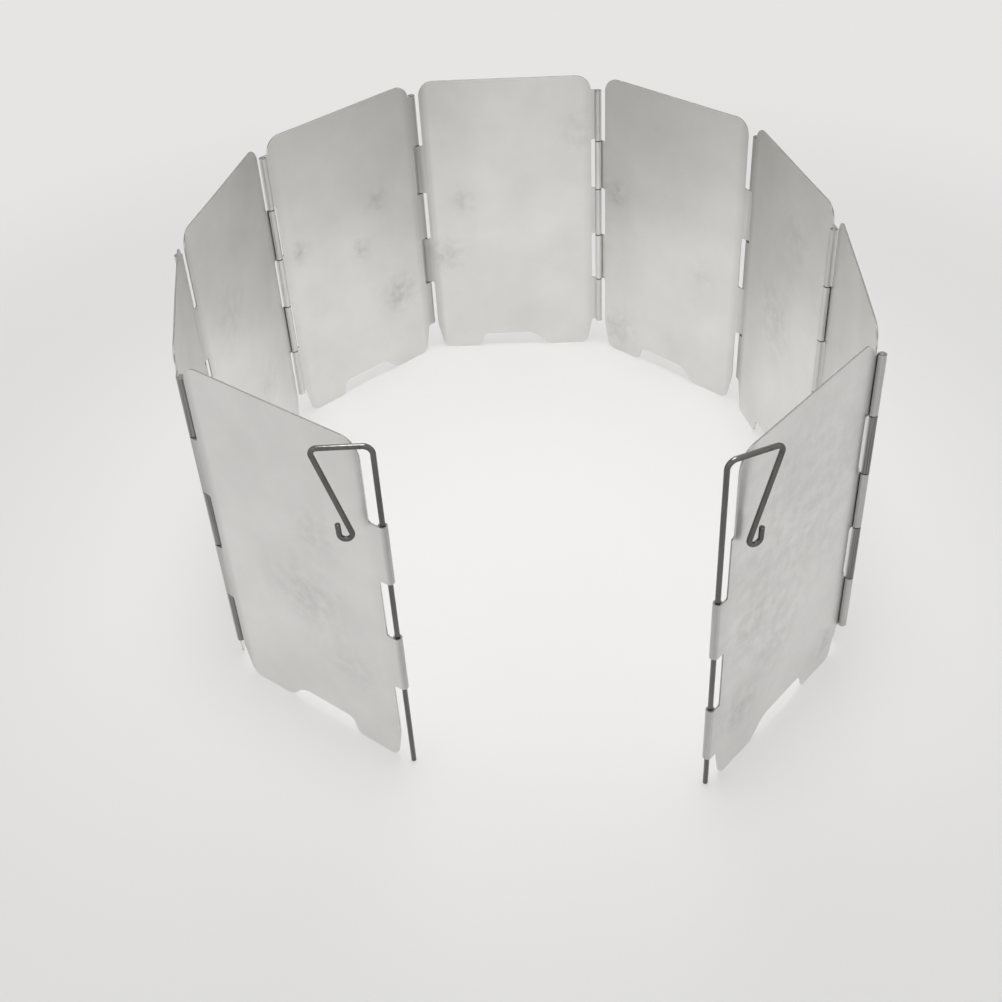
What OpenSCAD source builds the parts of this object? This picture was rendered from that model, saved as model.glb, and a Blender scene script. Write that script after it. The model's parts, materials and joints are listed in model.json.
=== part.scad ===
// Folding camp stove windscreen: nine sheet panels on wire pins, with a hooked rod at each free edge.
// The panels stand in an arc that is open towards -Y. The ground is at z = 0.

/* [Panel] */
// Distance between the two hinge axes of a panel
panel_pitch = 83.3; // [60:0.1:110]
// Height from the ground to the top edge
panel_h = 138; // [110:1:180]
// Thickness of the sheet
sheet_t = 0.6; // [0.4:0.05:1]
// Radius of the two top corners
top_corner_r = 7; // [4:0.5:10]
// Width of each foot from the edge of the sheet to the arch
foot_w = 18.8; // [14:0.2:26]
// Distance by which a foot draws in below the hinge
foot_inset = 1.8; // [0.5:0.1:4]
// Radius of the outer corner of a foot
foot_corner_r = 4.5; // [2:0.5:8]
// Height of the arch between the feet
arch_h = 7; // [5:0.5:12]
// Run of the arch's steep left shoulder from the foot to the full height
arch_steep_w = 7; // [6:0.5:12]
// Run of the arch's gentle right shoulder
arch_gentle_w = 14; // [6:0.5:18]

/* [Hinge] */
// Diameter of the wire of pins and rods
wire_d = 1.8; // [1.2:0.1:2.4]
// Radial clearance between the wire and a rolled knuckle
bore_clear = 0.05; // [0.02:0.01:0.1]
// Gap between one knuckle and the next along the pin
knuckle_gap = 0.4; // [0.2:0.05:1]
// Open slot between a knuckle and the edge of the sheet beside it
slot_w = 1.65; // [1.2:0.05:2.5]
// Radius in the inner corners of the slots
slot_corner_r = 0.8; // [0.4:0.1:1.2]
// Seam that stays open where the roll meets its own sheet
seam_gap = 0.25; // [0.1:0.05:0.4]
// Distance from the top edge down to the hinge
hinge_top_drop = 6.5; // [3:0.5:12]
// Height of the lower end of the hinge over the ground
hinge_foot_h = 13.5; // [9:0.5:20]
// Chamfer on the ends of the pins
pin_chamfer = 0.2; // [0.05:0.05:0.4]

/* [Hook rod] */
// Open notch between the line of the knuckles and the sheet beside the bare top of a rod
hook_notch_w = 3.05; // [2:0.05:4]
// Radius at the foot of that notch
notch_corner_r = 1.1; // [0.4:0.1:1.5]
// Height of the rod's lower end over the ground
rod_ground_gap = 0.3; // [0.1:0.1:3]
// Distance from the top edge down to the middle of the bar
bar_drop = 0.3; // [0:0.1:2]
// Reach of the bar from the rod's axis to its outer corner
hook_reach = 18.8; // [15:0.1:24]
// Radius of the bend from the rod into the bar
rod_bend_r = 3; // [1.5:0.25:4]
// Radius of the bend from the bar into the leg
leg_bend_r = 2; // [1.5:0.25:3]
// Length of the leg from the outer corner to its turn
leg_len = 33.4; // [20:0.2:40]
// Angle by which the leg leans back to the rod
leg_lean = 16; // [8:0.5:18]
// Radius of the turn at the foot of the leg
hook_turn_r = 2; // [1.2:0.1:2.5]
// Angle of the turn at the foot of the leg
hook_turn = 195; // [150:5:210]
// Length of the straight tip after the turn
hook_tip = 4; // [2:0.2:10]
// Angle between the left hook and the outer face of its panel
hook_left_angle = 38; // [24:1:170]
// Angle between the right hook and the outer face of its panel
hook_right_angle = 25; // [24:1:170]

/* [Arc] */
// Bend of the arc at the first hinge, counted from the left free edge
turn_1 = 43.5; // [0:0.5:50]
// Bend of the arc at the second hinge
turn_2 = 21.5; // [0:0.5:50]
// Bend of the arc at the third hinge
turn_3 = 34.5; // [0:0.5:50]
// Bend of the arc at the fourth hinge
turn_4 = 44.5; // [0:0.5:50]
// Bend of the arc at the fifth hinge
turn_5 = 42.5; // [0:0.5:50]
// Bend of the arc at the sixth hinge
turn_6 = 33.5; // [0:0.5:50]
// Bend of the arc at the seventh hinge
turn_7 = 15; // [0:0.5:50]
// Bend of the arc at the eighth hinge
turn_8 = 39; // [0:0.5:50]

/* [Hidden] */
$fn = 64;

sheet_color = [0.76, 0.76, 0.77];
pin_color = [0.45, 0.45, 0.47];
rod_color = [0.62, 0.62, 0.64];

panel_count = 9;
middle_panel = 5;
turns = [turn_1, turn_2, turn_3, turn_4, turn_5, turn_6, turn_7, turn_8];

// Axes are numbered 0 to 9 from the left free edge. 1 is an axis on the inner side of the sheets, -1 outer.
axis_side = [1, 1, -1, 1, -1, 1, -1, 1, -1, 1];

// Five knuckle zones, counted from the top, are shared by the two panels of a hinge.
zone_count = 5;
odd = [1, 3, 5];
even = [2, 4];
lower = [3, 5];
left_zones = [even, odd, even, odd, even, even, odd, even, odd];
right_zones = [even, odd, even, odd, odd, even, odd, even, lower];

bore_r = wire_d / 2 + bore_clear;
tube_r = bore_r + sheet_t;
axis_offset = bore_r + sheet_t / 2;
edge_x = tube_r + slot_w;
hook_edge_x = tube_r + hook_notch_w;
sheet_w = panel_pitch - 2 * edge_x;

arch_w = sheet_w - 2 * foot_w;
steep_w = min(arch_steep_w, arch_w / 2);
gentle_w = min(arch_gentle_w, arch_w / 2);

// How far cuts reach beyond the outline
spill = 1;

hinge_top = panel_h - hinge_top_drop;
zone_h = (hinge_top - hinge_foot_h) / zone_count;
knuckle_h = zone_h - knuckle_gap;
notch_z = hinge_top - zone_h - knuckle_gap / 2;

bar_z = panel_h - bar_drop;
leg_bend_turn = 90 + leg_lean;
leg_bend_trim = leg_bend_r * tan(leg_bend_turn / 2);

function flat(angle) = [cos(angle), sin(angle)];
function knuckle_z(zone) = hinge_top - zone * zone_h + knuckle_gap / 2;

// Heading of a panel, with the middle panel along X
function heading(panel) =
    panel == middle_panel ? 0
    : panel < middle_panel ? heading(panel + 1) + turns[panel - 1]
    : heading(panel - 1) - turns[panel - 2];

// Step from the axis before a panel to the axis after it
function panel_step(panel) =
    panel_pitch * flat(heading(panel))
    - axis_offset * (axis_side[panel] - axis_side[panel - 1]) * flat(heading(panel) + 90);

function chain(axis) = axis == 0 ? [0, 0] : chain(axis - 1) + panel_step(axis);

chain_x = [for (axis = [0:panel_count]) chain(axis)[0]];
chain_y = [for (axis = [0:panel_count]) chain(axis)[1]];
arc_middle = [(min(chain_x) + max(chain_x)) / 2, (min(chain_y) + max(chain_y)) / 2];

function axis_at(axis) = chain(axis) - arc_middle;

// Puts a panel drawn along X, with its mid plane at y = 0 and its left axis at x = 0, into the arc
module place_panel(panel) {
    translate(axis_at(panel - 1))
        rotate(heading(panel))
            translate([0, axis_side[panel - 1] * axis_offset, 0])
                children();
}

module mirror_if(flip, direction) {
    if (flip) {
        mirror(direction) children();
    } else {
        children();
    }
}

// What a round corner takes off a square one at the origin
module corner_cut(r) {
    difference() {
        square(2 * r, center = true);
        translate([r, r]) circle(r);
    }
}

// Shoulder of the arch from a foot at the origin, two equal arcs in an S as wide as w
module shoulder_cut(w) {
    r = (w * w + arch_h * arch_h) / (4 * arch_h);
    difference() {
        translate([0, -spill]) square([w, arch_h / 2 + spill]);
        translate([0, r]) circle(r);
    }
    translate([w, arch_h - r]) intersection() {
        circle(r);
        translate([-w, r - arch_h]) square([w, arch_h]);
    }
}

module arch_cut() {
    translate([-arch_w / 2, 0]) shoulder_cut(steep_w);
    translate([arch_w / 2, 0]) mirror([1, 0]) shoulder_cut(gentle_w);
    translate([steep_w - arch_w / 2, -spill]) square([arch_w - steep_w - gentle_w, arch_h + spill]);
}

// What the drawn-in outer side of a foot takes off the sheet
module foot_cut() {
    polygon([[-spill, hinge_foot_h], [0, hinge_foot_h], [foot_inset, foot_corner_r], [-spill, foot_corner_r]]);
    translate([foot_inset, 0]) corner_cut(foot_corner_r);
}

module top_cut() {
    translate([0, panel_h]) mirror([0, 1]) corner_cut(top_corner_r);
}

// Notch beside the bare top of a hook rod
module hook_notch() {
    difference() {
        translate([edge_x - spill, notch_z])
            square([hook_edge_x - edge_x + spill, panel_h - notch_z + spill]);
        translate([hook_edge_x, notch_z]) mirror([1, 0]) corner_cut(notch_corner_r);
    }
}

// What is cut from the left edge of the sheet
module edge_cut(free) {
    translate([edge_x, 0]) foot_cut();
    translate([free ? hook_edge_x : edge_x, 0]) top_cut();
    if (free) {
        hook_notch();
    }
}

module sheet_outline(left_free, right_free) {
    difference() {
        translate([edge_x, 0]) square([sheet_w, panel_h]);
        edge_cut(left_free);
        translate([panel_pitch, 0]) mirror([1, 0]) edge_cut(right_free);
        translate([panel_pitch / 2, 0]) arch_cut();
    }
}

// Rounds the corner where a knuckle's strip leaves the edge of the sheet
module slot_corner() {
    difference() {
        translate([-slot_corner_r, 0]) square([slot_corner_r + slot_w, slot_corner_r]);
        translate([-slot_corner_r, slot_corner_r]) circle(slot_corner_r);
    }
}

// Flat strips that run from the sheet to the left axis, one for each knuckle
module knuckle_strips(zones, free) {
    first_full = free ? 2 : 1;
    for (zone = zones) {
        translate([0, knuckle_z(zone)]) square([edge_x + slot_w, knuckle_h]);
        translate([edge_x, knuckle_z(zone)]) mirror([0, 1]) slot_corner();
        if (zone > first_full) {
            translate([edge_x, knuckle_z(zone) + knuckle_h]) slot_corner();
        }
    }
}

// Roll around the axis, seen along it, with the sheet leaving from the top towards +X
module roll_profile() {
    difference() {
        circle(tube_r);
        circle(bore_r);
        translate([0, bore_r - seam_gap]) square([tube_r, tube_r]);
    }
}

module knuckle_rolls(zones, side) {
    for (zone = zones) {
        translate([0, 0, knuckle_z(zone)])
            linear_extrude(knuckle_h)
                mirror_if(side < 0, [0, 1])
                    translate([0, -axis_offset])
                        roll_profile();
    }
}

module panel(number) {
    left = left_zones[number - 1];
    right = right_zones[number - 1];
    left_free = number == 1;
    right_free = number == panel_count;
    color(sheet_color) place_panel(number) {
        translate([0, sheet_t / 2, 0]) rotate([90, 0, 0]) linear_extrude(sheet_t) {
            sheet_outline(left_free, right_free);
            knuckle_strips(left, left_free);
            translate([panel_pitch, 0]) mirror([1, 0]) knuckle_strips(right, right_free);
        }
        knuckle_rolls(left, axis_side[number - 1]);
        translate([panel_pitch, 0, 0]) mirror([1, 0, 0]) knuckle_rolls(right, axis_side[number]);
    }
}

module hinge_pin(number) {
    length = hinge_top - hinge_foot_h;
    r = wire_d / 2;
    color(pin_color) translate(concat(axis_at(number), hinge_foot_h))
        rotate_extrude()
            polygon([
                [0, 0],
                [r - pin_chamfer, 0],
                [r, pin_chamfer],
                [r, length - pin_chamfer],
                [r - pin_chamfer, length],
                [0, length]
            ]);
}

// Straight run of wire along +X, with what follows at its end
module wire_run(length) {
    rotate([0, 90, 0]) cylinder(h = length, d = wire_d);
    translate([length, 0, 0]) children();
}

// Bend of the wire, to the left for a positive turn, with what follows at its end
module wire_bend(r, turn) {
    mirror_if(turn < 0, [0, 1, 0])
        translate([0, r, 0])
            rotate(-90)
                rotate_extrude(angle = abs(turn))
                    translate([r, 0])
                        circle(d = wire_d);
    centre = [0, sign(turn) * r, 0];
    translate(centre) rotate(turn) translate(-centre) children();
}

// Hook rod drawn flat: x is the reach from the rod's axis and y is the height
module hook_wire() {
    translate([0, rod_ground_gap, 0])
        rotate(90)
            wire_run(bar_z - rod_bend_r - rod_ground_gap)
            wire_bend(rod_bend_r, -90)
            wire_run(hook_reach - rod_bend_r - leg_bend_trim)
            wire_bend(leg_bend_r, -leg_bend_turn)
            wire_run(leg_len - leg_bend_trim)
            wire_bend(hook_turn_r, hook_turn)
            wire_run(hook_tip);
}

module hook_rod(axis, direction) {
    color(rod_color) translate(axis_at(axis)) rotate(direction) rotate([90, 0, 0]) hook_wire();
}

module hook_rod_left() {
    hook_rod(0, heading(1) + hook_left_angle);
}

module hook_rod_right() {
    hook_rod(panel_count, heading(panel_count) + 180 - hook_right_angle);
}

for (number = [1:panel_count]) {
    panel(number);
}
for (number = [1:panel_count - 1]) {
    hinge_pin(number);
}
hook_rod_left();
hook_rod_right();
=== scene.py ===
import json
import math

import bmesh
import bpy
from mathutils import Matrix, Vector, noise


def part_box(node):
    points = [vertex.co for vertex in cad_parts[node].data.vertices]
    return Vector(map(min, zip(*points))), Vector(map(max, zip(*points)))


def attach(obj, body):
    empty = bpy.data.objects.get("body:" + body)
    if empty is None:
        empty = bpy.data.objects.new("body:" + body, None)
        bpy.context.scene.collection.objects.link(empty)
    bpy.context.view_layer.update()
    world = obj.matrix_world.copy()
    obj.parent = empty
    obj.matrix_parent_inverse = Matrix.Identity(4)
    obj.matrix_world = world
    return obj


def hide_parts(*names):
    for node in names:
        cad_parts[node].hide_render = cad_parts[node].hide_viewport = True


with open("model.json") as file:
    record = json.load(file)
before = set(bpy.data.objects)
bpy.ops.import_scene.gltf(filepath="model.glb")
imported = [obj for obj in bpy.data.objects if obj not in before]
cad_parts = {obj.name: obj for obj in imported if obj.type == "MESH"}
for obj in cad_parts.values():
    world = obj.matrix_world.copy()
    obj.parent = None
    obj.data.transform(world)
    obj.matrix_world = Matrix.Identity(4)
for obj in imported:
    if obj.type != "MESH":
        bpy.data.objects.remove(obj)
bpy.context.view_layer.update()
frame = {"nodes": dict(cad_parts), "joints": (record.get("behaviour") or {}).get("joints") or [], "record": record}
print("frame loaded:", len(frame["nodes"]), "nodes")

mm = 0.001  # pieces are drawn in millimetres and scaled when they are finished
mergeGap = 1e-4  # millimetres within which points count as one
panelCount = 9
bodyOfNode = {
    node: body
    for body, members in frame["record"]["behaviour"]["bodies"].items()
    for node in members
}

# Axes of the hinges from the left free edge to the right one, read from the joints
axisJoints = ["hook_left_swivel"]
axisJoints += [f"hinge_{number}_fold" for number in range(1, panelCount)]
axisJoints += ["hook_right_swivel"]
jointPlace = {joint["name"]: Vector(joint["pos_m"]) / mm for joint in frame["joints"]}
axes = [jointPlace[name] for name in axisJoints]

pinLow, pinHigh = (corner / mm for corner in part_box("hinge_pin_4"))
wire = pinHigh.x - pinLow.x  # wire diameter of pins and rods
hingeTop, hingeFoot = pinHigh.z, pinLow.z
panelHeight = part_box("panel_5")[1].z / mm


def linearColour(hexColour):
    # sRGB hex to the linear values that the sockets take
    values = [int(hexColour[i:i + 2], 16) / 255 for i in (1, 3, 5)]
    linear = [v / 12.92 if v <= 0.04045 else ((v + 0.055) / 1.055) ** 2.4 for v in values]
    return (*linear, 1.0)


def addNode(tree, kind, inputs=None, **settings):
    # one node with its settings, and its sockets set or linked
    node = tree.nodes.new(kind)
    for name, value in settings.items():
        setattr(node, name, value)
    for name, value in (inputs or {}).items():
        if isinstance(value, bpy.types.NodeSocket):
            tree.links.new(value, node.inputs[name])
        else:
            node.inputs[name].default_value = value
    return node


def newMaterial(name):
    material = bpy.data.materials.new(name)
    material.use_nodes = True
    tree = material.node_tree
    return material, tree, tree.nodes["Principled BSDF"]


# Materials

# Mill-finish aluminium sheet: pale satin grey that blurs what it mirrors, with cloudy handling marks,
# smudges where it has been rubbed, painted shade on panel 9 and along the knuckles, and dull sheared edges
sheetLook = {
    "clean": "#e8e8e6",
    "cloudy": "#e0e0de",
    # colour of the smudges, and of the painted shade on panel 9
    "smudgedAndShaded": "#9f9e9c",
    # colour of the painted shade along the hinges, in the crevices of the knuckles
    "hingeShadeColour": "#676664",
    "hingeShadeShare": 0.6,  # of the painted hinge shade colour where the hinge shade is 1
    "hingeShadeLeast": 0.7,  # part of that share in the cleaner rolling marks, which break up the painted hinge shade
    "sheared": "#898886",
    "shearRough": 0.55,
    "shearTilt": (0.3, 0.6),  # height of a face's normal where the sheared look starts and is full
    "cloud": 26.0,  # mm across one cloud
    "markBreak": 5.5,  # mm across the broken parts of a smudge or of the painted shade on panel 9
    "markBreakEdge": (0.38, 0.62),  # values of the noise between a gap and a full mark
    "markBreakLeast": 0.15,  # what a gap keeps of the mark
    "rollLine": 1.4,  # mm between rolling marks, coarser than real ones so that they show
    "rollStretch": 30,  # times as long as they are wide
    "rollBump": 0.05,
    "rollDepth": 0.0004,  # metres
    "noiseEnds": (0.3, 0.7),  # values of the noise between the two ends of a look
    "roughLow": 0.285,
    "roughHigh": 0.34,
}


def makeSheetMaterial():
    material, tree, shader = newMaterial("millFinishAluminium")
    place = addNode(tree, "ShaderNodeAttribute", attribute_name="sheetPlace").outputs["Vector"]
    stainAndShade = addNode(tree, "ShaderNodeAttribute", attribute_name="stainAndShade").outputs["Fac"]
    paintedHingeShade = addNode(tree, "ShaderNodeAttribute", attribute_name="paintedHingeShade").outputs["Fac"]
    cloud = addNode(tree, "ShaderNodeTexNoise", {
        "Vector": place, "Scale": 1 / sheetLook["cloud"], "Detail": 3.0, "Roughness": 0.55,
    }).outputs["Fac"]
    breakUp = addNode(tree, "ShaderNodeTexNoise", {
        "Vector": place, "Scale": 1 / sheetLook["markBreak"], "Detail": 4.0, "Roughness": 0.6,
    }).outputs["Fac"]
    lineWidth = sheetLook["rollLine"]
    lineSpace = addNode(tree, "ShaderNodeMapping", {
        "Vector": place,
        "Scale": (1 / lineWidth, 1 / (sheetLook["rollStretch"] * lineWidth), 1),
    }).outputs["Vector"]
    lines = addNode(tree, "ShaderNodeTexNoise", {
        "Vector": lineSpace, "Scale": 1.0, "Detail": 2.0,
    }).outputs["Fac"]
    gap, full = sheetLook["markBreakEdge"]
    markBreak = addNode(tree, "ShaderNodeMapRange", {
        "Value": breakUp, "From Min": gap, "From Max": full,
        "To Min": sheetLook["markBreakLeast"], "To Max": 1.0,
    }).outputs["Result"]
    # smudges, and on panel 9 a broad painted shade that darkens much of the panel
    marked = addNode(tree, "ShaderNodeMath", {
        0: markBreak, 1: stainAndShade,
    }, operation="MULTIPLY").outputs[0]
    low, high = sheetLook["noiseEnds"]
    cloudSoft = addNode(tree, "ShaderNodeMapRange", {
        "Value": cloud, "From Min": low, "From Max": high,
    }).outputs["Result"]
    hingeShadeLines = addNode(tree, "ShaderNodeMapRange", {
        "Value": lines, "From Min": low, "From Max": high,
        "To Min": sheetLook["hingeShadeLeast"] * sheetLook["hingeShadeShare"],
        "To Max": sheetLook["hingeShadeShare"],
    }).outputs["Result"]
    # painted shade along the hinges, broken up by the rolling marks
    hingeShadeBroken = addNode(tree, "ShaderNodeMath", {
        0: hingeShadeLines, 1: paintedHingeShade,
    }, operation="MULTIPLY", use_clamp=True).outputs[0]
    # sheared edges at the top and foot are told by faces that look up or down
    facing = addNode(tree, "ShaderNodeNewGeometry").outputs["True Normal"]
    upright = addNode(tree, "ShaderNodeSeparateXYZ", {"Vector": facing}).outputs["Z"]
    upright = addNode(tree, "ShaderNodeMath", {0: upright}, operation="ABSOLUTE").outputs[0]
    start, full = sheetLook["shearTilt"]
    edge = addNode(tree, "ShaderNodeMapRange", {
        "Value": upright, "From Min": start, "From Max": full,
    }).outputs["Result"]
    # inputs 6 and 7 are the colour sockets of a Mix node, and output 2 is its colour
    colour = addNode(tree, "ShaderNodeMix", {
        "Factor": cloudSoft,
        6: linearColour(sheetLook["clean"]), 7: linearColour(sheetLook["cloudy"]),
    }, data_type="RGBA").outputs[2]
    for amount, mark in ((marked, "smudgedAndShaded"), (hingeShadeBroken, "hingeShadeColour"), (edge, "sheared")):
        colour = addNode(tree, "ShaderNodeMix", {
            "Factor": amount, 6: colour, 7: linearColour(sheetLook[mark]),
        }, data_type="RGBA").outputs[2]
    rough = addNode(tree, "ShaderNodeMapRange", {
        "Value": cloud, "From Min": low, "From Max": high,
        "To Min": sheetLook["roughLow"], "To Max": sheetLook["roughHigh"],
    }).outputs["Result"]
    # a Mix node of plain numbers takes its factor at 0 and the numbers at 2 and 3
    rough = addNode(tree, "ShaderNodeMix", {
        0: edge, 2: rough, 3: sheetLook["shearRough"],
    }).outputs[0]
    bump = addNode(tree, "ShaderNodeBump", {
        "Height": lines, "Strength": sheetLook["rollBump"], "Distance": sheetLook["rollDepth"],
    })
    tree.links.new(colour, shader.inputs["Base Color"])
    tree.links.new(rough, shader.inputs["Roughness"])
    tree.links.new(bump.outputs["Normal"], shader.inputs["Normal"])
    shader.inputs["Metallic"].default_value = 1.0
    return material


# Drawn steel wire, left plain: darker than the sheet, with dull streaks along it
pinLook = {"bright": "#9d9d9b", "dull": "#6b6c6a", "streak": 1.2, "roughness": 0.36}

# Nickel-plated steel wire, dulled by heat and handling: a dark mirror with bright lines where it
# faces a lamp, and faint drawing marks along it
rodLook = {"bright": "#7a7a77", "dull": "#535351", "streak": 1.6, "roughness": 0.17}

# Drawing marks, whose width in millimetres is the streak of each look
drawMarks = {
    "stretch": 0.1,  # how fast they change along the wire, beside across it
    "smoother": 0.06,  # range of the roughness, below and above that of the look
    "rougher": 0.1,
}


def makeWireMaterial(name, look):
    material, tree, shader = newMaterial(name)
    place = addNode(tree, "ShaderNodeTexCoord").outputs["Object"]
    width = look["streak"] * mm
    grain = addNode(tree, "ShaderNodeMapping", {
        "Vector": place, "Scale": (1 / width, 1 / width, drawMarks["stretch"] / width),
    }).outputs["Vector"]
    streak = addNode(tree, "ShaderNodeTexNoise", {
        "Vector": grain, "Scale": 1.0, "Detail": 3.0,
    }).outputs["Fac"]
    colour = addNode(tree, "ShaderNodeMix", {
        "Factor": streak, 6: linearColour(look["bright"]), 7: linearColour(look["dull"]),
    }, data_type="RGBA").outputs[2]
    rough = addNode(tree, "ShaderNodeMapRange", {
        "Value": streak,
        "To Min": look["roughness"] - drawMarks["smoother"],
        "To Max": look["roughness"] + drawMarks["rougher"],
    }).outputs["Result"]
    tree.links.new(colour, shader.inputs["Base Color"])
    tree.links.new(rough, shader.inputs["Roughness"])
    shader.inputs["Metallic"].default_value = 1.0
    return material


sheetMaterial = makeSheetMaterial()
pinMaterial = makeWireMaterial("drawnSteelWire", pinLook)
rodMaterial = makeWireMaterial("nickelPlatedWire", rodLook)
print("materials made")


def finishPiece(bm, name, place, material, node):
    # makes a piece of what was drawn in millimetres and puts it on its body in the frame
    bm.transform(Matrix.Scale(mm, 4) @ place)
    for face in bm.faces:
        face.smooth = True
    mesh = bpy.data.meshes.new(name)
    bm.to_mesh(mesh)
    bm.free()
    mesh.materials.append(material)
    piece = bpy.data.objects.new(name, mesh)
    bpy.context.scene.collection.objects.link(piece)
    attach(piece, bodyOfNode[node])
    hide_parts(node)
    return piece


def flattenNormals(piece):
    # large flat faces stay flat to the eye beside their rounded rims
    normals = piece.modifiers.new("flatNormals", "WEIGHTED_NORMAL")
    normals.weight = 60  # of 100


def vertsOf(edges):
    # each vertex of these edges once, in their order
    return list(dict.fromkeys(v for e in edges for v in e.verts))


# Panels, each cut from one sheet and rolled at its edges

sheetSize = {
    "thick": 0.6,
    "clear": 0.05,  # between the wire and its roll
    "gap": 0.4,  # between one knuckle and the next
    "slot": 1.65,  # between a knuckle and the edge beside it
    "slotRadius": 0.8,
    "notch": 3.05,  # between the line of the knuckles and the edge beside the bare top of a rod
    "notchRadius": 1.1,
    "topRadius": 7.0,
    "footWidth": 18.8,
    "footInset": 1.8,  # by which a foot draws in below the hinge
    "footRadius": 4.5,
    "waistRadius": 10.0,  # where the edge starts to draw in
    "archHeight": 7.0,
    "archSteep": 7.0,  # run of the left shoulder
    "archGentle": 14.0,
    "arcStep": 0.8,  # length of one step along a rounded corner
    "leastSteps": 3,
    "cornerEase": 0.985,  # part of a corner's reach that is rounded, so that neighbours stay apart
    "rollTurn": 300,  # degrees from the flat strip to the seam
    "rollSteps": 20,
    "endMatch": 1e-3,  # from the axis line, within which an edge is the end of a strip
    "rollMatch": 0.05,  # from the middle of the roll's wall, within which a point is on the roll
    "shadeTurnRun": 60,  # degrees of roll over which the painted hinge shade of the strip turns to the roll's
    "shadeReach": 7.2,  # width beside an axis over which the painted hinge shade of the strip fades
    "markShift": 130,  # between the patterns of one panel and the next
    "markDepth": 3,  # times that depth counts in the patterns, for the rolls
    "rim": 0.08,  # rounding of the sheared edges
    "rimSteps": 2,
    "rimAngle": 50,  # degrees from which an edge is rounded
    "cell": 4.0,  # spacing of the cuts that let the sheet bow
    "bow": 0.28,  # how far the sheet wanders from flat
    "bowLength": 46.0,
    "bowRise": 12.0,  # width beside a hinge over which the bow sets in
    "bowShift": 37.0,  # between the bow of one panel and the next
}
axisSide = [1, 1, -1, 1, -1, 1, -1, 1, -1, 1]  # 1 where the axis lies inside the arc
topZone, notchZone, zoneCount = 1, 2, 5  # knuckle zones of a hinge, counted from the top
odd, even, lower = (1, 3, 5), (2, 4), (3, 5)
panelZones = [  # zones with a knuckle at the left and right edge of each panel
    (even, even), (odd, odd), (even, even), (odd, odd), (even, odd),
    (even, even), (odd, odd), (even, even), (odd, lower),
]
# Painted hinge shade at the left and right edge of each panel, on the flat strip and on the roll
paintedHingeShadeLevels = [
    ((0.15, 0.9), (1.0, 1.0)), ((0.3, 1.6), (0.3, 0.5)), ((0.6, 0.6), (0.3, 0.4)),
    ((0.3, 0.3), (0.7, 0.9)), ((1.2, 1.3), (0.5, 0.3)), ((0.1, 0.0), (0.65, 1.0)),
    ((0.75, 0.8), (0.3, 0.5)), ((0.3, 0.4), (0.3, 1.7)), ((0.3, 0.8), (0.25, 0.9)),
]
# Smudges on each panel, with a broad painted shade as the last mark on panel 9: along, up, size and strength
panelStainsAndShade = [
    [(38, 60, 13, 0.30), (30, 92, 9, 0.22), (22, 34, 9, 0.25)],
    [(40, 70, 14, 0.2)],
    [(30, 88, 12, 0.22), (52, 40, 10, 0.2)],
    [(64, 40, 8, 0.55), (56, 91, 4, 0.5), (12, 82, 4, 0.5), (44, 70, 4, 0.5)],
    [(10, 52, 8, 0.4), (20, 80, 5, 0.35), (74, 112, 8, 0.25)],
    [(10, 84, 5, 0.6), (12, 12, 9, 0.35), (60, 60, 6, 0.2)],
    [(36, 66, 14, 0.3), (50, 110, 10, 0.2)],
    [(40, 80, 14, 0.15)],
    [
        (68, 24, 9, 0.4), (10, 12, 7, 0.45), (50, 40, 12, 0.2), (66, 60, 9, 0.25),
        # a broad painted shade that darkens much of panel 9
        (42, 88, 45, 0.25),
    ],
]

boreRadius = wire / 2 + sheetSize["clear"]
axisOffset = boreRadius + sheetSize["thick"] / 2
tubeRadius = boreRadius + sheetSize["thick"]
sheetEdge = tubeRadius + sheetSize["slot"]
hookEdge = tubeRadius + sheetSize["notch"]
zoneHeight = (hingeTop - hingeFoot) / zoneCount


def panelFrame(number):
    # pitch, and the matrix from the panel's own millimetres to the arc
    left, right = axes[number - 1], axes[number]
    shift = axisOffset * (axisSide[number] - axisSide[number - 1])
    step = (right - left).to_2d()
    pitch = math.sqrt(step.length_squared - shift ** 2)
    heading = math.atan2(step.y, step.x) + math.atan2(shift, pitch)
    place = Matrix.Translation((left.x, left.y, 0)) @ Matrix.Rotation(heading, 4, "Z")
    return pitch, place @ Matrix.Translation((0, axisSide[number - 1] * axisOffset, 0))


def knuckleSpan(zone):
    # lower and upper end of the knuckle in this zone
    low = hingeTop - zone * zoneHeight + sheetSize["gap"] / 2
    return low, low + zoneHeight - sheetSize["gap"]


def topCorners(high):
    # knuckle end at this height that runs into the round top corner of the sheet
    radius = sheetSize["topRadius"]
    lean = math.asin((high - panelHeight + radius) / radius)
    meet = sheetEdge + radius * (1 - math.cos(lean))
    return [(meet, high, 0), (meet + (panelHeight - high) * math.tan(lean), panelHeight, radius)]


def edgeCorners(zones, isFree):
    # corners of one edge from the ground up, as distance from the axis, height and radius
    slope = sheetSize["footInset"] / (hingeFoot - sheetSize["footRadius"])
    corners = [(sheetEdge + slope * hingeFoot, 0, sheetSize["footRadius"])]
    if zoneCount not in zones:
        corners.append((sheetEdge, hingeFoot, sheetSize["waistRadius"]))
    for zone in sorted(zones, reverse=True):
        low, high = knuckleSpan(zone)
        corners += [(sheetEdge, low, sheetSize["slotRadius"]), (0, low, 0), (0, high, 0)]
        if zone == topZone:
            return corners + topCorners(high)
        if zone > notchZone or not isFree:
            corners.append((sheetEdge, high, sheetSize["slotRadius"]))
    if not isFree:
        return corners + [(sheetEdge, panelHeight, sheetSize["topRadius"])]
    notchFoot = knuckleSpan(notchZone)[1]
    if notchZone not in zones:
        corners.append((sheetEdge, notchFoot, sheetSize["slotRadius"]))
    return corners + [
        (hookEdge, notchFoot, sheetSize["notchRadius"]),
        (hookEdge, panelHeight, sheetSize["topRadius"]),
    ]


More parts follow.
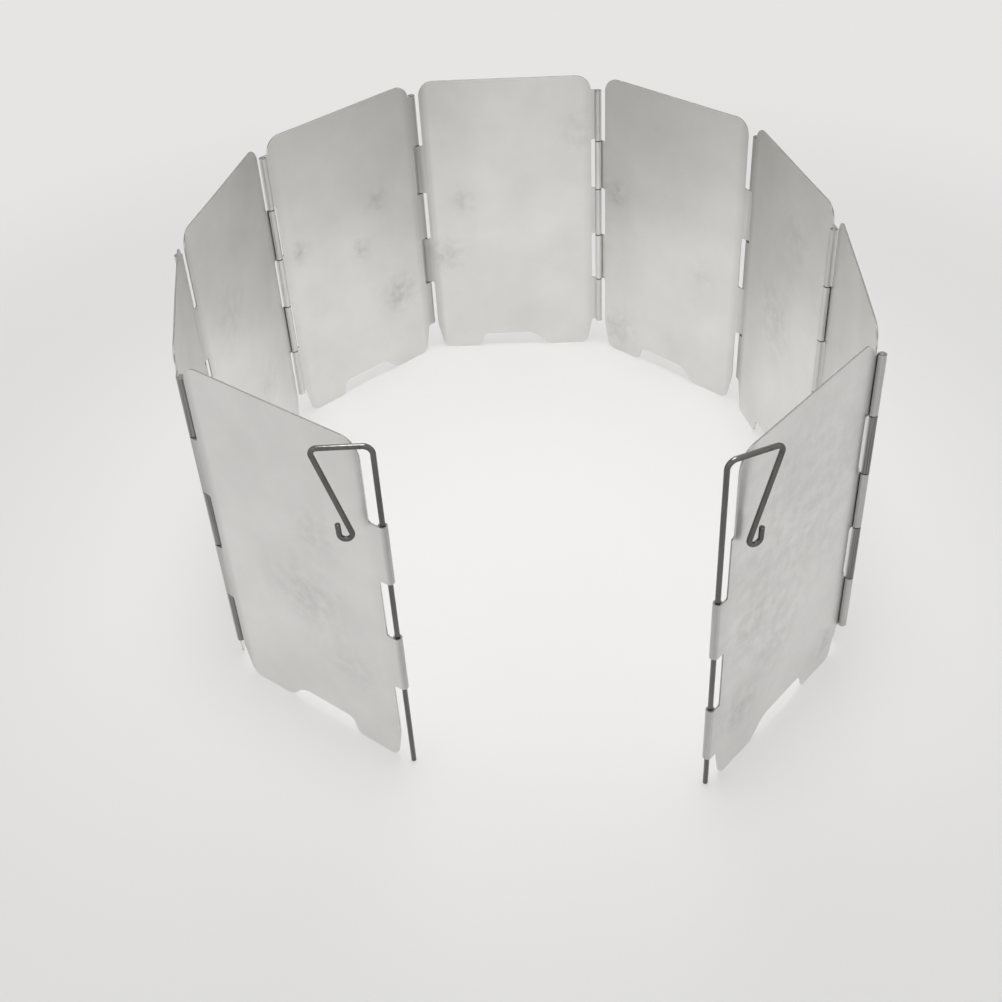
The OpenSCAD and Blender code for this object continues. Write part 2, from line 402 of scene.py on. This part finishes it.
def shoulderCorners(run):
    # S-shaped shoulder of the arch from the foot up, as two equal arcs
    height = sheetSize["archHeight"]
    radius = (run * run + height * height) / (4 * height)
    reach = radius * height / run
    return [(reach, 0, radius), (run - reach, height, radius)]


def cutSheet(bm, pitch, number):
    # flat blank as one face, with its corners rounded by vertex bevels
    leftZones, rightZones = panelZones[number - 1]
    archLeft = sheetEdge + sheetSize["footWidth"]
    archRight = pitch - archLeft
    steep = shoulderCorners(sheetSize["archSteep"])
    gentle = shoulderCorners(sheetSize["archGentle"])
    corners = [(archLeft + x, z, r) for x, z, r in steep]
    corners += [(archRight - x, z, r) for x, z, r in reversed(gentle)]
    corners += [(pitch - x, z, r) for x, z, r in edgeCorners(rightZones, number == panelCount)]
    corners += reversed(edgeCorners(leftZones, number == 1))
    points = [Vector((x, 0, z)) for x, z, radius in corners]
    verts = [bm.verts.new(point) for point in points]
    bm.faces.new(verts)
    rounded = {}
    for i, (x, z, radius) in enumerate(corners):
        if radius:
            turn = (points[i] - points[i - 1]).angle(points[(i + 1) % len(points)] - points[i])
            # to four places, so that equal corners are rounded together
            reach = round(sheetSize["cornerEase"] * radius * math.tan(turn / 2), 4)
            steps = max(sheetSize["leastSteps"], round(radius * turn / sheetSize["arcStep"]))
            rounded.setdefault((reach, steps), []).append(verts[i])
    for (reach, steps), group in rounded.items():
        bmesh.ops.bevel(
            bm, geom=group, offset=reach, offset_type="ABSOLUTE", affect="VERTICES",
            segments=steps, profile=0.5, material=-1,
        )


def cutLines(bm, axis, first, last):
    # even cuts across the blank, so that it can bow
    normal = Vector((1, 0, 0)) if axis == 0 else Vector((0, 0, 1))
    count = int((last - first) / sheetSize["cell"])
    for i in range(1, count):
        place = first + (last - first) * i / count
        bmesh.ops.bisect_plane(
            bm, geom=bm.verts[:] + bm.edges[:] + bm.faces[:], dist=mergeGap,
            plane_co=normal * place, plane_no=normal,
        )


def rollKnuckles(bm, x, side, turn):
    # strip ends at this x are spun round the axis into knuckles
    near = sheetSize["endMatch"]
    ends = [e for e in bm.edges if e.is_boundary and all(abs(v.co.x - x) < near for v in e.verts)]
    bmesh.ops.spin(
        bm, geom=vertsOf(ends) + ends, cent=(x, -side * axisOffset, 0), axis=(0, 0, 1),
        angle=turn * side * math.radians(sheetSize["rollTurn"]), steps=sheetSize["rollSteps"],
    )


def bowSheet(bm, pitch, number):
    # gentle wander of the flat part, with the hinge strips left straight
    for vert in bm.verts:
        inset = min(vert.co.x, pitch - vert.co.x) - sheetEdge
        free = min(max(inset / sheetSize["bowRise"], 0), 1)
        where = Vector((vert.co.x, vert.co.z, sheetSize["bowShift"] * number))
        where /= sheetSize["bowLength"]
        vert.co.y += sheetSize["bow"] * free * noise.noise(where)


def paintedHingeShadeAt(spot, pitch, number):
    # painted hinge shade: fades over the flat strip beside an axis, and changes to that of the roll
    # where the knuckle turns away
    sides = (0, axisSide[number - 1]), (pitch, axisSide[number])
    for (x, side), (strip, roll) in zip(sides, paintedHingeShadeLevels[number - 1]):
        arm = spot - Vector((x, -side * axisOffset))
        if abs(arm.length - axisOffset) < sheetSize["rollMatch"]:
            turned = min(math.degrees(arm.angle(Vector((0, side)))) / sheetSize["shadeTurnRun"], 1)
            return strip + (roll - strip) * turned
        if abs(spot.x - x) < sheetSize["shadeReach"]:
            return strip * (1 - abs(spot.x - x) / sheetSize["shadeReach"])
    return 0


def markSheet(bm, pitch, number):
    # flat coordinates in millimetres, smudges with the painted shade on panel 9, and painted hinge shade, kept for
    # the material
    place = bm.verts.layers.float_vector.new("sheetPlace")
    stainAndShade = bm.verts.layers.float.new("stainAndShade")
    paintedHingeShade = bm.verts.layers.float.new("paintedHingeShade")
    for vert in bm.verts:
        # painted shade along the hinges
        vert[paintedHingeShade] = paintedHingeShadeAt(vert.co.to_2d(), pitch, number)
        along = vert.co.x + sheetSize["markShift"] * number
        vert[place] = Vector((along, vert.co.z, sheetSize["markDepth"] * vert.co.y))
        # smudges, and on panel 9 a broad painted shade
        amount = 0
        for x, z, size, strength in panelStainsAndShade[number - 1]:
            away = math.hypot(vert.co.x - x, vert.co.z - z) / size
            amount += strength * math.exp(-away * away)
        vert[stainAndShade] = amount


def makePanel(number):
    pitch, place = panelFrame(number)
    bm = bmesh.new()
    cutSheet(bm, pitch, number)
    cutLines(bm, 0, sheetEdge, pitch - sheetEdge)
    cutLines(bm, 2, 0, panelHeight)
    bowSheet(bm, pitch, number)
    rollKnuckles(bm, 0, axisSide[number - 1], 1)
    rollKnuckles(bm, pitch, axisSide[number], -1)
    bmesh.ops.remove_doubles(bm, verts=bm.verts[:], dist=mergeGap)
    bmesh.ops.recalc_face_normals(bm, faces=bm.faces[:])
    markSheet(bm, pitch, number)
    node = f"panel_{number}"
    piece = finishPiece(bm, f"sheetPanel{number}", place, sheetMaterial, node)
    wall = piece.modifiers.new("sheetThickness", "SOLIDIFY")
    wall.thickness = sheetSize["thick"] * mm
    wall.offset = 0
    wall.use_even_offset = True
    rim = piece.modifiers.new("shearedRim", "BEVEL")
    rim.width = sheetSize["rim"] * mm
    rim.segments = sheetSize["rimSteps"]
    rim.limit_method = "ANGLE"
    rim.angle_limit = math.radians(sheetSize["rimAngle"])
    rim.use_clamp_overlap = False
    flattenNormals(piece)
    return piece


panels = [makePanel(number) for number in range(1, panelCount + 1)]
print("panels rolled:", len(panels))


# Hinge pins, cut from wire

pinSize = {"sides": 24, "endRounding": 0.2, "endSteps": 3}


def makePin(number):
    node = f"hinge_pin_{number}"
    low, high = (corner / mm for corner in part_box(node))
    bm = bmesh.new()
    bmesh.ops.create_cone(
        bm, cap_ends=True, segments=pinSize["sides"],
        radius1=wire / 2, radius2=wire / 2, depth=high.z - low.z,
    )
    ends = [e for e in bm.edges if abs(e.verts[0].co.z - e.verts[1].co.z) < mergeGap]
    bmesh.ops.bevel(
        bm, geom=ends, offset=pinSize["endRounding"], affect="EDGES",
        segments=pinSize["endSteps"], profile=0.5, material=-1,
    )
    place = Matrix.Translation((low + high) / 2)
    piece = finishPiece(bm, f"hingePin{number}", place, pinMaterial, node)
    flattenNormals(piece)
    return piece


pins = [makePin(number) for number in range(1, panelCount)]
print("pins cut:", len(pins))


# Hook rods, bent from one wire each

rodSize = {
    "sides": 24,
    "groundGap": 0.3,  # below the lower end
    "barDrop": 0.3,  # from the top of the panels to the middle of the bar
    "reach": 18.8,  # of the bar from the rod to the leg
    "rodBend": 3.0,  # radius between the rod and the bar
    "legBend": 2.0,  # and between the bar and the leg
    "legLength": 33.4,
    "legLean": 16,  # degrees by which the leg runs back towards the rod
    "turnRadius": 2.0,  # of the hook at the end of the leg
    "turn": 195,  # degrees that the hook goes round
    "tip": 4.0,  # straight end of the hook
    "endRounding": 0.25,
    "endSteps": 3,
    "degreesPerStep": 9,
    "leftAngle": 38,  # between each hook and the outer face of its panel
    "rightAngle": 25,
}


def runWire(bm, ring, direction, length):
    # straight length of wire from the open ring of edges
    made = bmesh.ops.extrude_edge_only(bm, edges=ring)["geom"]
    verts = [g for g in made if isinstance(g, bmesh.types.BMVert)]
    bmesh.ops.translate(bm, verts=verts, vec=direction * length)
    return [g for g in made if isinstance(g, bmesh.types.BMEdge)]


def bendWire(bm, ring, start, direction, radius, degrees):
    # bend in the plane of the hook, to the left for positive degrees
    left = Vector((-direction.z, 0, direction.x)) * math.copysign(1, degrees)
    centre = start + left * radius
    made = bmesh.ops.spin(
        bm, geom=vertsOf(ring) + ring, cent=centre, axis=(0, -1, 0),
        angle=math.radians(degrees),
        steps=round(abs(degrees) / rodSize["degreesPerStep"]),
    )["geom_last"]
    turn = Matrix.Rotation(math.radians(degrees), 3, Vector((0, -1, 0)))
    end = centre + turn @ (start - centre)
    return [g for g in made if isinstance(g, bmesh.types.BMEdge)], end, turn @ direction


def makeRod(node, name, axis, heading):
    bar = panelHeight - rodSize["barDrop"]
    legTurn = 90 + rodSize["legLean"]
    trim = rodSize["legBend"] * math.tan(math.radians(legTurn / 2))
    steps = [
        ("run", bar - rodSize["rodBend"] - rodSize["groundGap"]),
        ("bend", rodSize["rodBend"], -90),
        ("run", rodSize["reach"] - rodSize["rodBend"] - trim),
        ("bend", rodSize["legBend"], -legTurn),
        ("run", rodSize["legLength"] - trim),
        ("bend", rodSize["turnRadius"], rodSize["turn"]),
        ("run", rodSize["tip"]),
    ]
    bm = bmesh.new()
    bmesh.ops.create_circle(bm, cap_ends=False, segments=rodSize["sides"], radius=wire / 2)
    ring = bm.edges[:]
    start, direction = Vector((0, 0, rodSize["groundGap"])), Vector((0, 0, 1))
    bmesh.ops.translate(bm, verts=bm.verts[:], vec=start)
    for step in steps:
        if step[0] == "run":
            ring = runWire(bm, ring, direction, step[1])
            start = start + direction * step[1]
        else:
            ring, start, direction = bendWire(bm, ring, start, direction, step[1], step[2])
    rims = [e for e in bm.edges if e.is_boundary]
    bmesh.ops.holes_fill(bm, edges=rims, sides=0)
    bmesh.ops.recalc_face_normals(bm, faces=bm.faces[:])
    bmesh.ops.bevel(
        bm, geom=rims, offset=rodSize["endRounding"], affect="EDGES",
        segments=rodSize["endSteps"], profile=0.5, material=-1,
    )
    place = Matrix.Translation((axes[axis].x, axes[axis].y, 0)) @ Matrix.Rotation(heading, 4, "Z")
    return finishPiece(bm, name, place, rodMaterial, node)


def panelHeading(number):
    return panelFrame(number)[1].to_euler().z


leftHeading = panelHeading(1) + math.radians(rodSize["leftAngle"])
rightHeading = panelHeading(panelCount) + math.pi - math.radians(rodSize["rightAngle"])
makeRod("hook_rod_left", "hookRodLeft", 0, leftHeading)
makeRod("hook_rod_right", "hookRodRight", panelCount, rightHeading)
print("hook rods bent")


# Stage: a floor of matt paper, pale and without gloss, soft light and the camera

stageLook = {
    "floor": "#e9e8e7",
    "floorSize": 6.0,  # metres
    "floorRough": 0.9,
    "evenNear": 0.6,  # share of the floor's look that is its plain colour, beside the arc
    "evenFar": 0.95,  # and well away from it
    "nearEdge": 0.18,  # metres from the middle of the arc
    "farEdge": 0.5,
    "worldGrey": "#c9cbcd",
    "worldStrength": 0.4,
}
lamps = [  # name, place in metres, side in metres, spread in degrees, watts
    ("lampLeft", (-0.75, -0.75, 0.85), 0.5, 180, 0.6),
    ("lampRight", (0.80, -0.70, 0.85), 0.5, 180, 0.3),
    ("lampTop", (0.0, -0.03, 0.90), 0.4, 45, 0.56),
    ("lampBack", (0.0, 0.60, 0.95), 0.5, 180, 1.8),
]
lampAim = Vector((0, 0, 0.05))
view = {
    "place": (0.0197, -0.4449, 0.3695),  # metres
    "heading": 3.454,  # degrees, as are the next two
    "pitch": 38.774,
    "roll": -3.566,
    "focal": 1361.4,  # pixels, in a picture of this width
    "frameWidth": 1002,
    "sensorWidth": 36.0,  # millimetres
    "clipStart": 0.01,  # metres
}


def seenRay(tree):
    # 1 for the rays of the eye and of what the metal mirrors
    ray = addNode(tree, "ShaderNodeLightPath").outputs
    seen = ray["Is Camera Ray"]
    for kind in ("Is Glossy Ray", "Is Transmission Ray"):
        seen = addNode(tree, "ShaderNodeMath", {
            0: seen, 1: ray[kind],
        }, operation="ADD", use_clamp=True).outputs[0]
    return seen


def makeStage():
    bm = bmesh.new()
    bmesh.ops.create_grid(bm, x_segments=1, y_segments=1, size=stageLook["floorSize"] / 2)
    mesh = bpy.data.meshes.new("paleFloor")
    bm.to_mesh(mesh)
    bm.free()
    floor = bpy.data.objects.new("paleFloor", mesh)
    bpy.context.scene.collection.objects.link(floor)
    material, tree, shader = newMaterial("matPaper")
    shader.inputs["Base Color"].default_value = linearColour(stageLook["floor"])
    shader.inputs["Roughness"].default_value = stageLook["floorRough"]
    # the eye and the metal see an evenly pale floor that keeps its shadows round the object
    seen = seenRay(tree)
    place = addNode(tree, "ShaderNodeTexCoord").outputs["Object"]
    away = addNode(tree, "ShaderNodeVectorMath", {0: place}, operation="LENGTH").outputs["Value"]
    even = addNode(tree, "ShaderNodeMapRange", {
        "Value": away, "From Min": stageLook["nearEdge"], "From Max": stageLook["farEdge"],
        "To Min": stageLook["evenNear"], "To Max": stageLook["evenFar"],
    }, interpolation_type="SMOOTHSTEP").outputs["Result"]
    share = addNode(tree, "ShaderNodeMath", {0: seen, 1: even}, operation="MULTIPLY").outputs[0]
    plain = addNode(tree, "ShaderNodeEmission", {
        "Color": linearColour(stageLook["floor"]),
    }).outputs[0]
    mixed = addNode(tree, "ShaderNodeMixShader", {
        0: share, 1: shader.outputs[0], 2: plain,
    }).outputs[0]
    tree.links.new(mixed, tree.nodes["Material Output"].inputs["Surface"])
    mesh.materials.append(material)
    world = bpy.data.worlds.new("softRoom")
    world.use_nodes = True
    tree = world.node_tree
    light = tree.nodes["Background"]
    light.inputs["Color"].default_value = linearColour(stageLook["worldGrey"])
    light.inputs["Strength"].default_value = stageLook["worldStrength"]
    # beyond the floor the same pale colour shows
    pale = addNode(tree, "ShaderNodeBackground", {"Color": linearColour(stageLook["floor"])})
    both = addNode(tree, "ShaderNodeMixShader", {
        0: seenRay(tree), 1: light.outputs[0], 2: pale.outputs[0],
    }).outputs[0]
    tree.links.new(both, tree.nodes["World Output"].inputs["Surface"])
    bpy.context.scene.world = world
    for name, place, side, spread, power in lamps:
        light = bpy.data.lights.new(name, "AREA")
        light.shape = "SQUARE"
        light.size = side
        light.spread = math.radians(spread)
        light.energy = power
        lamp = bpy.data.objects.new(name, light)
        lamp.location = place
        lamp.rotation_euler = (lampAim - Vector(place)).to_track_quat("-Z", "Y").to_euler()
        bpy.context.scene.collection.objects.link(lamp)


def makeCamera():
    data = bpy.data.cameras.new("photoCamera")
    data.sensor_width = view["sensorWidth"]
    data.lens = view["focal"] / view["frameWidth"] * view["sensorWidth"]
    data.clip_start = view["clipStart"]
    camera = bpy.data.objects.new("photoCamera", data)
    turn = Matrix.Rotation(math.radians(view["heading"]), 4, "Z")
    turn = turn @ Matrix.Rotation(math.radians(90 - view["pitch"]), 4, "X")
    turn = turn @ Matrix.Rotation(math.radians(view["roll"]), 4, "Z")
    camera.matrix_world = Matrix.Translation(view["place"]) @ turn
    bpy.context.scene.collection.objects.link(camera)
    bpy.context.scene.camera = camera


makeStage()
makeCamera()
bpy.context.scene.view_settings.view_transform = "Standard"
print("stage set")
